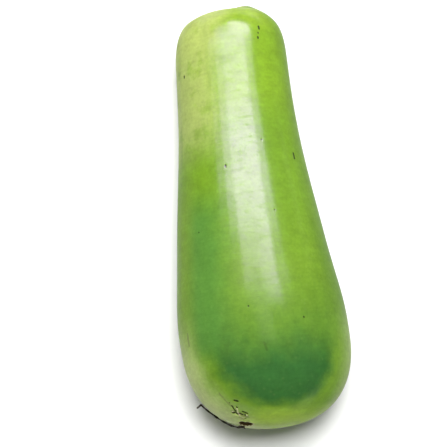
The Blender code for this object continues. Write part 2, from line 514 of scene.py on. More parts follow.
class Bench:
    """A material under construction, with its surface shader and the fruit's own coordinates."""

    def __init__(self, name: str, pose: Matrix) -> None:
        """Start a material that holds a surface shader and an output.

        Args:
            name: name of the material.
            pose: matrix from the fruit's own frame to the ground's.
        """
        self.material = bpy.data.materials.new(name)
        self.material.use_nodes = True
        self.tree = self.material.node_tree
        self.surface = self.tree.nodes["Principled BSDF"]
        ground = self.signal("ShaderNodeTexCoord", "Object")
        back = {"Vector": ground, "Location": pose.translation, "Rotation": pose.to_euler()}
        self.place = self.signal("ShaderNodeMapping", 0, {"vector_type": "TEXTURE"}, back)
        parts = self.node("ShaderNodeSeparateXYZ", inputs={0: self.place})
        self.x, self.y, self.z = (Signal(self, socket) for socket in parts.outputs)

    def node(self, kind: str, settings: Settings = None, inputs: Inputs = None) -> bpy.types.Node:
        """Add any node.

        Args:
            kind: its type.
            settings: its properties; stops gives a ramp's places and colours.
            inputs: numbers, colours or signals for its sockets, by name or number.

        Returns:
            The node.
        """
        made = self.tree.nodes.new(kind)
        for name, value in (settings or {}).items():
            if name == "stops":
                self._set_stops(made.color_ramp, value)
            else:
                setattr(made, name, value)
        for key, value in (inputs or {}).items():
            self.feed(made.inputs[key], value)
        return made

    @staticmethod
    def _set_stops(ramp: bpy.types.ColorRamp, stops: Sequence[tuple[float, Colour]]) -> None:
        """Give a colour ramp its stops.

        Args:
            ramp: the ramp.
            stops: places from 0 to 1 and their colours.
        """
        while len(ramp.elements) < len(stops):
            ramp.elements.new(0.5)
        for element, (place, colour) in zip(ramp.elements, stops):
            element.position = place
            element.color = (*colour, 1.0)

    def feed(self, socket: bpy.types.NodeSocket, value: Any) -> None:
        """Link a signal to a socket, or set the socket's own number or colour.

        Args:
            socket: an input.
            value: a signal, a number or a tuple.
        """
        if isinstance(value, Signal):
            self.tree.links.new(value.socket, socket)
        elif isinstance(value, tuple) and socket.type == "RGBA":
            socket.default_value = (*value, 1.0)
        else:
            socket.default_value = value

    def signal(
        self, kind: str, output: Union[int, str], settings: Settings = None, inputs: Inputs = None
    ) -> Signal:
        """Add any node and give back one of its outputs."""
        return Signal(self, self.node(kind, settings, inputs).outputs[output])

    def mask(self, tint: Union[Tint, str]) -> Signal:
        """A number that the mesh stores at each point."""
        name = tint.value if isinstance(tint, Tint) else tint
        return self.signal("ShaderNodeAttribute", "Fac", {"attribute_name": name})

    def stretched(self, scale: tuple[float, float, float]) -> Signal:
        """The fruit's own coordinates, multiplied along each axis."""
        inputs = {0: self.place, 1: scale}
        return self.signal("ShaderNodeVectorMath", 0, {"operation": "MULTIPLY"}, inputs)

    def grain(
        self, size: float, detail: float = 2.0, place: Signal | None = None, rough: float = 0.5
    ) -> Signal:
        """Cloudy noise round 0.5; its size is in metres, or 1 where place is already stretched."""
        inputs = {"Vector": place or self.place, "Scale": 1 / size, "Detail": detail, "Roughness": rough}
        return self.signal("ShaderNodeTexNoise", "Fac", None, inputs)

    def dots(self, pitch: float, low: float, high: float, kept: float) -> Signal:
        """Scattered round dots, only some of the cells holding one.

        Args:
            pitch: distance between the cells in metres.
            low: radius of the full dot, as a share of the pitch.
            high: radius where it has faded out.
            kept: share of the cells that stay empty.

        Returns:
            A mask from 0 to 1.
        """
        cells = self.node("ShaderNodeTexVoronoi", None, {"Vector": self.place, "Scale": 1 / pitch})
        chosen = self.signal("ShaderNodeSeparateColor", 0, None, {0: Signal(self, cells.outputs["Color"])})
        round_dot = Signal(self, cells.outputs["Distance"]).rising(high, low)
        return round_dot * chosen.rising(kept, kept + 0.05)

    def ramp(self, factor: Signal, stops: Sequence[tuple[float, Colour]]) -> Signal:
        """Colours looked up by a number."""
        return self.signal("ShaderNodeValToRGB", 0, {"stops": stops}, {0: factor})

    def blend(self, factor: Number, first: Any, second: Any, mode: str = "MIX") -> Signal:
        """Mix two colours, factor being the share of the second."""
        settings = {"data_type": "RGBA", "blend_type": mode, "clamp_factor": True}
        return self.signal("ShaderNodeMix", 2, settings, {0: factor, 6: first, 7: second})

    def layered(self, colour: Any, layers: Sequence[tuple[Signal, Any]]) -> Signal:
        """Lay colours over one another, each where its mask is.

        Args:
            colour: the ground.
            layers: masks and colours, the lowest first.

        Returns:
            The colour that is seen.
        """
        for mask, tint in layers:
            colour = self.blend(mask, colour, tint)
        return colour

    def lit(self, colour: Union[Signal, Colour], gain: Signal) -> Signal:
        """A colour made lighter or darker by a number round 1."""
        grey = self.signal("ShaderNodeCombineColor", 0, None, {0: gain, 1: gain, 2: gain})
        return self.blend(1.0, colour, grey, "MULTIPLY")

    def bumped(self, layers: Sequence[tuple[Signal, float]]) -> Signal:
        """Surface normal bent by several heights.

        Args:
            layers: each a height from 0 to 1 and how deep it is in metres.

        Returns:
            The normal.
        """
        normal = None
        for height, depth in layers:
            inputs: dict[str, Any] = {"Height": height, "Distance": depth, "Strength": 1.0}
            if normal is not None:
                inputs["Normal"] = normal
            normal = self.signal("ShaderNodeBump", 0, None, inputs)
        return normal

    def dress(self, **inputs: Any) -> bpy.types.Material:
        """Feed the surface shader.

        Args:
            inputs: values or signals for its sockets, named with underscores for spaces.

        Returns:
            The finished material.
        """
        for name, value in inputs.items():
            self.feed(self.surface.inputs[name.replace("_", " ")], value)
        return self.material


# Finishes ----------------------------------------------------


@dataclass(frozen=True)
class RindFinish:
    """Waxy green rind: yellow-green neck, deeper belly, flecks, dark pits, brown scars and a soft gloss,
    with painted shade and painted reflections in its green.
    """

    length: float
    tip: Colour = (0.3, 0.47, 0.03)
    chin: Colour = (0.136, 0.264, 0.019)
    belly: Colour = (0.112, 0.228, 0.021)
    loin: Colour = (0.148, 0.272, 0.019)
    waist: Colour = (0.152, 0.287, 0.019)
    neck: Colour = (0.195, 0.34, 0.02)
    shoulder: Colour = (0.31, 0.45, 0.03)
    # painted shade: a dark band over the lower belly where the skin faces up
    painted_belly_shade: Colour = (0.03, 0.116, 0.022)
    # painted shade: the darker core along the left flank
    deep: Colour = (0.083, 0.222, 0.036)
    # painted reflection: a lighter strip along the left rim
    edge: Colour = (0.162, 0.292, 0.026)
    # painted reflection of the pale floor on the lower left flank by the blossom end
    painted_floor_reflection: Colour = (0.43, 0.53, 0.185)
    # painted reflection of bright surroundings on the neck's left flank: this colour and the next two
    flank: Colour = (0.325, 0.41, 0.108)
    painted_nape_reflection: Colour = (0.36, 0.45, 0.115)
    painted_crown_reflection: Colour = (0.4, 0.485, 0.12)
    # painted shade down the right flank: this colour towards the belly, the next towards the stalk end
    shade: Colour = (0.1, 0.214, 0.01)
    collar: Colour = (0.15, 0.276, 0.014)
    fleck: Colour = (0.33, 0.45, 0.13)
    vein: Colour = (0.045, 0.14, 0.018)
    cork: Colour = (0.52, 0.49, 0.3)
    stain: Colour = (0.056, 0.036, 0.012)
    crack: Colour = (0.016, 0.015, 0.004)
    pit: Colour = (0.022, 0.034, 0.006)
    scuff: Colour = (0.13, 0.14, 0.055)
    # painted reflection: a pale strip along the right rim
    painted_rim_reflection: Colour = (0.31, 0.42, 0.12)
    # painted light: the underside made paler by the floor's bounce
    ground: Colour = (0.42, 0.44, 0.2)

    def material(self, pose: Matrix) -> bpy.types.Material:
        """Build the rind's material.

        Args:
            pose: matrix from the fruit's own frame to the ground's.

        Returns:
            The material.
        """
        bench = Bench("rind", pose)
        colour = self._marked(bench, self._fleshed(bench))
        wax = bench.grain(0.018, 4.0)
        scars = bench.mask(Tint.CORK).at_least(bench.mask(Tint.STAIN)).at_least(bench.mask(Tint.CRACK))
        scarred = scars.rising(0.1, 0.6)
        roughness = (0.30 + 0.16 * wax) * (1 - scarred) + 0.75 * scarred
        skimming = bench.signal("ShaderNodeLayerWeight", "Facing", None, {"Blend": 0.5})
        upper = bench.mask("side").rising(0.64, 0.44) * bench.mask("side").rising(-0.62, -0.42)
        polish = (0.05 + 0.95 * upper) * (1 - 0.6 * skimming.rising(0.35, 0.75))
        along = bench.y / self.length + 0.5
        polish = polish * (1 - 0.30 * along.rising(0.66, 0.84))
        polish = polish * (0.15 + 0.85 * along.rising(0.02, 0.10) * along.rising(1.0, 0.955))
        ripple = bench.grain(1.0, 3.0, bench.stretched((130.0, 480.0, 130.0)), 0.60).rising(0.48, 0.70)
        pepper = bench.grain(0.0013, 2.0).rising(0.56, 0.72)
        polish = polish * (1 - 0.32 * ripple) * (1 - 0.32 * pepper)
        coat = (0.79 + 0.40 * wax) * (1 - scarred) * polish
        return bench.dress(
            Base_Color=colour, Roughness=roughness, Metallic=0.0, IOR=1.42, Specular_IOR_Level=0.03,
            Coat_Weight=coat, Coat_Roughness=0.20, Coat_IOR=1.60, Normal=self._relief(bench),
            Subsurface_Weight=0.10, Subsurface_Radius=(0.5, 1.0, 0.25), Subsurface_Scale=0.003,
        )

    def _fleshed(self, bench: Bench) -> Signal:
        """Green of the rind before its marks, with painted shade and painted reflections laid over it.

        Args:
            bench: the material under construction.

        Returns:
            The colour.
        """
        side = bench.mask("side")
        drift = bench.y / self.length + 0.5 + 0.05 * (bench.grain(0.045, 3.0) - 0.5)
        stops = (
            (0.0, self.tip), (0.02, self.tip), (0.05, self.chin), (0.16, self.chin), (0.24, self.belly),
            (0.35, self.loin), (0.5, self.waist), (0.7, self.waist), (0.78, self.neck), (0.91, self.neck),
            (1.0, self.shoulder),
        )
        patchy = bench.grain(0.014, 4.0, rough=0.6) - 0.5
        wavy = side + 0.22 * (bench.grain(0.030, 3.0) - 0.5) + 0.16 * patchy
        # painted shade: a darker core along the left flank
        deep = wavy.rising(-0.16, -0.60) * drift.rising(0.13, 0.21) * drift.rising(0.57, 0.47)
        crest = bench.mask("crest") + 0.13 * side.rising(-0.50, 0.35) + 0.24 * patchy
        # painted shade: a dark band across the lower belly, on the skin that faces up
        painted_belly_shade = crest.rising(0.66, 0.87) * (drift + 0.06 * patchy).rising(0.262, 0.125)
        # painted reflection of the pale floor on the lower left flank near the blossom end
        painted_floor_reflection = crest.rising(0.74, 0.35) * wavy.rising(-0.26, -0.80) * drift.rising(0.30, 0.12)
        # painted reflection of bright surroundings on the neck's left flank, laid on in blotches
        pale = bench.ramp(drift, ((0.68, self.flank), (0.86, self.painted_nape_reflection), (0.97, self.painted_crown_reflection)))
        painted_reflection_side = wavy - 0.30 * drift.rising(0.87, 0.97)
        blotch = 1 - 0.42 * bench.grain(0.012, 3.0, rough=0.55).rising(0.50, 0.66)
        # painted shade down the right flank
        dark = bench.ramp(drift, ((0.30, self.shade), (0.75, self.collar)))
        # painted light: the underside made paler by the floor's bounce
        under = (-1 * bench.z + 0.010 * bench.grain(0.02) - 0.005).rising(0.020, 0.044)
        lengthwise = bench.grain(1.0, 3.0, bench.stretched((150.0, 14.0, 150.0)), 0.6)
        layers = (
            (0.86 * deep, self.deep),
            # painted reflection: a lighter strip along the left rim
            (side.rising(-0.70, -0.92), self.edge),
            (painted_belly_shade, self.painted_belly_shade),
            (painted_floor_reflection, self.painted_floor_reflection),
            (painted_reflection_side.rising(-0.10, -0.56) * drift.rising(0.59, 0.72) * blotch, pale),
            # painted reflection: a pale strip along the right rim
            (0.70 * side.rising(0.74, 0.97) * drift.rising(0.50, 0.20), self.painted_rim_reflection),
            (0.9 * wavy.rising(0.58, 0.90) * drift.rising(0.18, 0.30), dark),
            (0.35 * under, self.ground),
            (0.08 * lengthwise.rising(0.50, 0.72), self.vein),
        )
        colour = bench.layered(bench.ramp(drift, stops), layers)
        cloud = 1 + 0.55 * (bench.grain(0.008, 4.0, rough=0.65) - 0.5)
        crosswise = bench.grain(1.0, 3.0, bench.stretched((70.0, 520.0, 70.0)), 0.65)
        fine = 1 + 0.34 * (bench.grain(0.0018, 2.0) - 0.5) + 0.24 * (crosswise - 0.5)
        return bench.lit(colour, cloud * fine)

    def _marked(self, bench: Bench, colour: Signal) -> Signal:
        """Flecks, pits, scuffs and scars over the green.

        Args:
            bench: the material under construction.
            colour: the green.

        Returns:
            The colour with its marks.
        """
        flecks = bench.dots(0.0040, 0.05, 0.30, 0.35) + 0.6 * bench.dots(0.0023, 0.05, 0.32, 0.5)
        ragged = 0.45 * (bench.grain(0.0009, 3.0) - 0.5)
        worn = 0.9 * (bench.grain(0.0025, 4.0, rough=0.7) - 0.5)
        rust = bench.lit(self.stain, 0.55 + 0.9 * bench.grain(0.0012, 3.0))
        layers = (
            (0.05 * flecks, self.fleck),
            (0.55 * (bench.mask(Tint.SCUFF) + worn).rising(0.35, 0.75), self.scuff),
            (0.85 * (bench.mask(Tint.CORK) + ragged).rising(0.30, 0.70), self.cork),
            ((bench.mask(Tint.STAIN) + ragged).rising(0.35, 0.65), rust),
            (0.9 * (bench.mask(Tint.CRACK) + ragged).rising(0.35, 0.65), self.crack),
            (0.95 * (bench.mask(Tint.SPECK) + 0.4 * ragged).rising(0.28, 0.60), self.pit),
        )
        return bench.layered(colour, layers)

    def _relief(self, bench: Bench) -> Signal:
        """Fine lines across the fruit, pores and a soft orange-peel swell.

        Args:
            bench: the material under construction.

        Returns:
            The normal.
        """
        across = bench.grain(1.0, 3.0, bench.stretched((60.0, 650.0, 60.0)), 0.6)
        peel = bench.grain(0.0045, 2.0)
        pores = bench.dots(0.0016, 0.08, 0.25, 0.4)
        return bench.bumped(((peel, 0.00011), (across, 0.00009), (1 - pores, 0.00003)))


@dataclass(frozen=True)
class StalkFinish:
    """Dry cut stalk: grey-brown fibrous side, pale pith and dark bundle ends on the cut."""

    bark: Colour = (0.19, 0.2, 0.085)
    dry: Colour = (0.33, 0.28, 0.17)
    cut: Colour = (0.4, 0.36, 0.22)
    pith: Colour = (0.2, 0.15, 0.08)
    bundle: Colour = (0.08, 0.055, 0.025)

    def material(self, pose: Matrix) -> bpy.types.Material:
        """Build the stalk's material.

        Args:
            pose: matrix from the fruit's own frame to the ground's.

        Returns:
            The material.
        """
        bench = Bench("stalk", pose)
        fibres = bench.grain(1.0, 4.0, bench.stretched((1500.0, 250.0, 1500.0)), 0.65)
        side = bench.blend(fibres.rising(0.35, 0.7), self.bark, self.dry)
        crumb = bench.grain(0.0007, 4.0, rough=0.7)
        face = bench.blend(bench.mask("pith"), self.cut, self.pith)
        face = bench.blend((bench.mask("bundle") + 0.4 * (crumb - 0.5)).rising(0.3, 0.7), face, self.bundle)
        colour = bench.lit(bench.blend(bench.mask("cut"), side, face), 0.65 + 0.7 * crumb)
        relief = bench.bumped(((fibres, 0.00012), (crumb, 0.00010)))
        return bench.dress(Base_Color=colour, Roughness=0.78 + 0.15 * crumb, Metallic=0.0, Normal=relief)


@dataclass(frozen=True)
class WitheredFinish:
    """Dried flower: near black, with brown fibres."""

    dark: Colour = (0.012, 0.009, 0.006)
    brown: Colour = (0.085, 0.05, 0.022)

    def material(self, pose: Matrix) -> bpy.types.Material:
        """Build the withered flower's material.

        Args:
            pose: matrix from the fruit's own frame to the ground's.

        Returns:
            The material.
        """
        bench = Bench("withered_flower", pose)
        fibres = bench.grain(1.0, 4.0, bench.stretched((1400.0, 500.0, 1400.0)), 0.7)
        crumb = bench.grain(0.0006, 3.0)
        colour = bench.blend(0.7 * fibres.rising(0.45, 0.75), self.dark, self.brown)
        colour = bench.lit(colour, 0.6 + 0.8 * crumb)
        relief = bench.bumped(((fibres, 0.00010), (crumb, 0.00006)))
        return bench.dress(Base_Color=colour, Roughness=0.70 + 0.2 * crumb, Metallic=0.0, Normal=relief)


@dataclass(frozen=True)
class FloorFinish:
    """Plain pale studio floor with a faint grain, which glows far from the middle to have no dark edge."""

    paint: Colour = (0.9, 0.9, 0.9)
    glow: Colour = (1.0, 1.0, 1.0)
    glow_start: float = 0.50
    glow_full: float = 1.00

    def material(self, pose: Matrix) -> bpy.types.Material:
        """Build the floor's material.

        Args:
            pose: matrix from the fruit's own frame to the ground's.

        Returns:
            The material.
        """
        bench = Bench("studio_floor", pose)
        grain = bench.grain(0.004, 3.0)
        reach = bench.x * bench.x + bench.y * bench.y
        far = reach.rising(self.glow_start**2, self.glow_full**2)
        return bench.dress(
            Base_Color=bench.lit(self.paint, 0.985 + 0.03 * grain), Metallic=0.0,
            Emission_Color=bench.lit(self.glow, far), Emission_Strength=1.0,
            Roughness=0.55 + 0.1 * grain, Specular_IOR_Level=0.2,
            Normal=bench.bumped(((grain, 0.00002),)),
        )


# Sub-assemblies ----------------------------------------------


@dataclass(frozen=True)
class Fruit:
    """The grown fruit, with its scars and the seat of the stalk."""

    form: GourdForm
    pose: Matrix
    rings: int = 208
    around: int = 256
    crowding: float = 0.45
    seam: float = math.radians(270)
    finer_cuts: int = 3
    finer_round_scar: float = 1.7
    finer_round_stalk: float = 0.0085
    folds: int = 5
    fold_depth: float = 0.256
    broad_swell: tuple[float, float] = (0.20, 0.045)
    small_swell: tuple[float, float] = (0.05, 0.013)
    seat_radius: float = 0.0049
    seat_depth: float = 0.0021
    crater: Crater = Crater()

    def build(self) -> bpy.types.Object:
        """Make the fruit's mesh and dress it.

        Returns:
            The piece, which stands for the fruit node.
        """
        shares = self.form.ring_shares(self.rings, self.crowding)
        angles = self.seam + np.arange(self.around) * 2 * math.pi / self.around
        rings = self.form.skin(*np.meshgrid(shares, angles, indexing="ij"))
        ends = self.form.skin(np.array([0.0, 1.0]), np.array([0.0, 0.0]))
        mesh = closed_loft("gourd_fruit", rings, (ends[0], ends[1]))
        patches = self.patches()
        self._refine(mesh, patches)
        self._sculpt(mesh, patches)
        piece = add_piece(mesh, self.pose, RindFinish(self.form.length).material(self.pose))
        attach(piece, ROOT_BODY)
        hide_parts("fruit")
        return piece

    def patches(self) -> list[Patch]:
        """Every patch of marks on the skin.

        Returns:
            The seen specks, the scuffs, the corky star and scattered specks on the far side.
        """
        seen = (
            (236.7, 56, 1.4, 1.6), (233.2, 58, 1.0, 0.4), (230.1, 59, 1.4, 0.6), (214.6, 147, 1.5, 0.8),
            (166.2, 69, 1.1), (152.5, 103, 1.2, 0.8), (123, 68, 1.0), (116.4, 131, 1.1),
            (68.4, 97, 1.2), (59, 62, 1.3), (157, 35, 1.6, 3.2),
        )
        marks = [speck(*spot) for spot in seen]
        dice = random.Random(11)
        for _ in range(26):
            along, angle = dice.uniform(20, 240), dice.uniform(188, 352)
            marks.append(speck(along, angle, dice.uniform(0.6, 1.1), dice.choice((0, 0, 0.8)), 0.9))
        smudge = Stroke((-0.6, 2.4), (0.3, -1.8), 3.6, -0.03, Tint.SPECK, 0.43)
        rub = Stroke((0.0, -3.0), (0.0, 3.0), 2.6, -0.03, Tint.SCUFF)
        low_rub = Stroke((-2.0, -4.0), (1.5, 4.0), 3.0, -0.05, Tint.SCUFF)
        marks += [Patch(44.5, 90, (smudge,), 6), Patch(56, 151, (rub,), 6), Patch(150, 255, (low_rub,), 7)]
        return [*marks, self.corky_star()]

    @staticmethod
    def corky_star() -> Patch:
        """Cracked corky scar above the blossom scar.

        Returns:
            A patch of sunken cracks, pale ridges between them and pits round them.
        """
        crack, cork = Tint.CRACK, Tint.CORK
        strokes = (
            Stroke((-5.0, 3.2), (-3.3, -0.4), 1.4, -0.45, crack),
            Stroke((-5.3, -3.6), (-3.5, -2.4), 1.6, -0.50, crack),
            Stroke((-3.5, -2.4), (-2.1, -3.4), 1.7, -0.55, crack),
            Stroke((-0.8, -1.9), (0.9, -2.7), 1.5, -0.45, crack),
            Stroke((1.4, 0.4), (3.9, -0.5), 1.6, -0.45, crack),
            Stroke((2.6, -1.6), (2.4, -3.4), 1.2, -0.25, crack, 0.8),
            Stroke((1.7, -6.4), (2.3, -6.6), 1.3, -0.30, crack, 0.8),
            Stroke((0.5, -9.0), (1.3, -8.4), 0.9, -0.20, crack, 0.7),
            Stroke((-2.2, 3.5), (-1.8, 3.3), 1.2, -0.35, crack),
            Stroke((-3.1, 8.4), (-1.4, 8.6), 1.7, -0.40, crack),
            Stroke((-6.6, 5.6), (-6.2, 5.0), 0.9, -0.20, crack, 0.7),
            Stroke((-1.9, 2.6), (-1.5, -0.4), 1.0, 0.25, cork, 0.9),
            Stroke((-1.5, -0.4), (-1.2, -3.4), 1.2, 0.30, cork),
            Stroke((-1.2, -3.4), (-0.5, -4.6), 1.1, 0.28, cork),
            Stroke((-4.9, -1.5), (-4.7, -1.2), 1.3, 0.35, cork),
            Stroke((3.4, -2.2), (3.6, -2.2), 1.3, 0.35, cork),
            Stroke((0.3, -5.0), (1.9, -5.4), 1.1, 0.22, cork, 0.8),
            Stroke((-3.6, -4.6), (-1.6, -5.2), 1.0, 0.20, cork, 0.6),
            Stroke((-2.4, -7.2), (2.2, -8.0), 1.2, 0.18, cork, 0.6),
            Stroke((-13.0, 9.5), (-5.5, 3.2), 2.2, -0.05, Tint.SCUFF, 0.8),
            Stroke((-3.5, -1.5), (2.5, -3.5), 7.0, 0.0, Tint.SCUFF, 0.8),
            Stroke((-0.5, -7.0), (3.5, -9.0), 4.5, 0.0, Tint.SCUFF, 0.7),
        )
        return Patch(11.0, 125.5, strokes, reach=12, level=True)

    def _refine(self, mesh: bpy.types.Mesh, patches: Sequence[Patch]) -> None:
        """Cut the mesh finer round the marks, the blossom scar and the stalk.

        Args:
            mesh: the fruit's mesh.
            patches: where the marks are.
        """
        spots = [(patch.axes(self.form)[0], patch.reach * MM) for patch in patches]
        spots.append((self.scar_axes()[0], self.finer_round_scar * self.crater.radius * MM))
        spots.append((Vector((self.form.collar_offset, self.form.collar_top, 0)), self.finer_round_stalk))
        with opened(mesh) as work:
            centres = np.array([face.calc_center_median() for face in work.faces])
            near = np.zeros(len(centres), bool)
            for middle, reach in spots:
                near |= np.linalg.norm(centres - np.array(middle), axis=1) < reach
            work.faces.ensure_lookup_table()
            edges = {edge for index in np.flatnonzero(near) for edge in work.faces[index].edges}
            ordered = sorted(edges, key=lambda edge: edge.index)
            bmesh.ops.subdivide_edges(work, edges=ordered, cuts=self.finer_cuts, use_grid_fill=True)

    def scar_axes(self) -> Axes:
        """Middle, right, up and out directions of the blossom scar."""
        return Patch(self.crater.along, self.crater.angle, (), level=True).axes(self.form)

    def _sculpt(self, mesh: bpy.types.Mesh, patches: Sequence[Patch]) -> None:
        """Raise and sink the skin, store the masks and flatten the underside on the ground.

        Args:
            mesh: the fruit's mesh.
            patches: the marks.
        """
        points, normals = surface_of(mesh)
        (broad, wide), (small, narrow) = self.broad_swell, self.small_swell
        rise = broad * rumple(points, wide, 3.0) + small * rumple(points, narrow, 8.0)
        masks = {tint: np.zeros(len(points)) for tint in Tint}
        for patch in patches:
            near, right, up = self._plane(points, patch.axes(self.form), patch.reach)
            for stroke in patch.strokes:
                shade = stroke.shade(right, up)
                rise[near] += stroke.rise * shade
                masks[stroke.tint][near] = np.maximum(masks[stroke.tint][near], stroke.strength * shade)
        near, right, up = self._plane(points, self.scar_axes(), 2.5 * self.crater.radius)
        hollow, stain, cork = self.crater.relief(right, up)
        rise[near] += hollow
        masks[Tint.STAIN][near] = np.maximum(masks[Tint.STAIN][near], stain)
        masks[Tint.CORK][near] = np.maximum(masks[Tint.CORK][near], 0.8 * cork)
        rise += self._pleats(points, masks)
        points += normals * rise[:, None] * MM
        points[:, 1] -= self._seat(points)
        put_corners(mesh, self._flattened(points))
        for tint, values in masks.items():
            paint(mesh, tint.value, values)
        radius = self.form.outline(np.clip(points[:, 1] / self.form.length + 0.5, 0.001, 0.999))
        paint(mesh, "side", points[:, 0] / (radius + 0.002))
        # how much the skin faces up; the rind's painted shade and painted reflection masks read it
        paint(mesh, "crest", normals[:, 2])

    @staticmethod
    def _plane(
        points: np.ndarray, axes: Axes, reach: float
    ) -> tuple[np.ndarray, np.ndarray, np.ndarray]:
        """Places of nearby points in the plane of a patch.

        Args:
            points: all points of the skin.
            axes: axes of the patch.
            reach: its radius in mm.

        Returns:
            Which points are near, and their places across and along in mm.
        """
        middle, right, up, _ = (np.array(axis) for axis in axes)
        away = (points - middle) / MM
        near = np.flatnonzero(np.linalg.norm(away, axis=1) < 1.6 * reach)
        return near, away[near] @ right, away[near] @ up

    def _pleats(self, points: np.ndarray, masks: dict[Tint, np.ndarray]) -> np.ndarray:
        """Shallow folds that run out from the stalk over the collar and the shoulder, in mm.

        Args:
            points: all points of the skin.
            masks: gets the corky ring round the stalk.

        Returns:
            The rise at each point.
        """
        x, z = points[:, 0] - self.form.collar_offset, points[:, 2]
        reach, turn = np.hypot(x, z) / MM, np.arctan2(z, x)
        stalk_end = smooth_step(points[:, 1], 0.36 * self.form.length, 0.46 * self.form.length)
        folds = np.cos(self.folds * turn + 0.6) + 0.4375 * np.cos(2 * self.folds * turn + 0.25 * reach)
        spread = smooth_step(reach, 4.5, 8.0) * smooth_step(reach, 26.0, 9.0)
        ring = stalk_end * np.exp(-(((reach - 5.2) / 0.8) ** 2))
        masks[Tint.CORK] = np.maximum(masks[Tint.CORK], 0.75 * ring)
        return self.fold_depth * stalk_end * folds * spread + 0.18 * ring * np.cos(13 * turn)

    def _seat(self, points: np.ndarray) -> np.ndarray:
        """How far the skin dips along the axis under the stub, in metres.

        Args:
            points: all points of the skin.

        Returns:
            The dip at each point.
        """
        reach = np.hypot(points[:, 0] - self.form.collar_offset, points[:, 2])
        dip = self.seat_depth * smooth_step(reach, self.seat_radius + 0.0003, self.seat_radius - 0.0005)
        return np.where(points[:, 1] > 0.4 * self.form.length, dip, 0.0)

    def _flattened(self, points: np.ndarray) -> np.ndarray:
        """Points of the skin, none of them under the ground.

        Args:
            points: points in the fruit's own frame.

        Returns:
            The same points, the lowest ones pressed flat.
        """
        turn = np.array(self.pose.to_3x3())
        shift = np.array(self.pose.translation)
        standing = points @ turn.T + shift
        standing[:, 2] = np.maximum(standing[:, 2], 0.0)
        return (standing - shift) @ turn


@dataclass(frozen=True)
class StalkStub:
    """What is left of the ridged stalk, cut almost level with the collar."""

    form: GourdForm
    pose: Matrix
    radius: float = 0.0047
    foot: float = 0.0019
    proud: float = 0.0008
    ridges: int = 5
    ridge_depth: float = 0.06
    dish: float = 0.00035
    flare: float = 0.04
    worn_edge: float = 0.05
    around: int = 180
    side_rings: int = 22
    face_rings: int = 30
    bundles: int = 10
    bundle_place: float = 0.70
    bundle_spread: float = 0.085
    bundle_rise: float = 0.00014

    def build(self) -> bpy.types.Object:
        """Make the stub's mesh and dress it.

        Returns:
            The piece, which stands for the stem_stub node.
        """
        turn = np.arange(self.around) * 2 * math.pi / self.around
        side = np.linspace(0, 1, self.side_rings)
        face = np.linspace(1, 0.02, self.face_rings)
        top = self.form.collar_top + self.proud
        bottom = self.form.collar_top - self.foot
        heights = np.concatenate([bottom + (top - bottom) * side, np.full(len(face), top)])
        flank = 1 + self.flare * (1 - side) - self.worn_edge * smooth_step(side, 0.8, 1.0)
        reaches = np.concatenate([flank, (1 - self.worn_edge) * face])
        cut = np.concatenate([np.zeros(len(side)), np.ones(len(face))])
        reach, angle = np.meshgrid(reaches, turn, indexing="ij")
        ridged = 1 - self.ridge_depth * (0.5 - 0.5 * np.cos(self.ridges * angle))
        x = self.form.collar_offset + self.radius * reach * ridged * np.cos(angle)
        z = self.radius * reach * ridged * np.sin(angle)
        y, on_cut = (np.repeat(row[:, None], self.around, 1) for row in (heights, cut))
        ends = self._ends(angle, reach)
        y = y + on_cut * (self.bundle_rise * ends - self.dish * np.clip(1 - reach, 0, 1) ** 0.7)
        rings = np.stack([x, y, z], -1)
        middle = (self.form.collar_offset, top - self.dish, 0.0)
        mesh = closed_loft("stalk_stub", rings, ((self.form.collar_offset, bottom, 0.0), middle))
        self._roughen(mesh)
        paint(mesh, "cut", np.append(on_cut.ravel(), (0.0, 1.0)))
        paint(mesh, "bundle", np.append((ends * on_cut).ravel(), (0.0, 0.0)))
        paint(mesh, "pith", np.append(smooth_step(reach, 0.42, 0.18).ravel(), (0.0, 1.0)))
        piece = add_piece(mesh, self.pose, StalkFinish().material(self.pose))
        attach(piece, ROOT_BODY)
        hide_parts("stem_stub")
        return piece

    def _ends(self, angle: np.ndarray, reach: np.ndarray) -> np.ndarray:
        """Cut ends of the bundles, in a ring of small round spots.

        Args:
            angle: angles about the stalk.
            reach: distances from its middle, as shares of its radius.

        Returns:
            A mask from 0 to 1.
        """
        pitch = 2 * math.pi / self.bundles
        offset = (angle + pitch / 2) % pitch - pitch / 2
        away = np.hypot(offset * reach, reach - self.bundle_place)
        return np.exp(-((away / self.bundle_spread) ** 2))

    @staticmethod
    def _roughen(mesh: bpy.types.Mesh) -> None:
        """Give the stub the unevenness of dry fibres.

        Args:
            mesh: the stub's mesh.
        """
        points, normals = surface_of(mesh)
        rise = 0.10 * rumple(points, 0.0022, 5.0) + 0.05 * rumple(points, 0.0007, 9.0)
        put_corners(mesh, points + normals * rise[:, None] * MM)


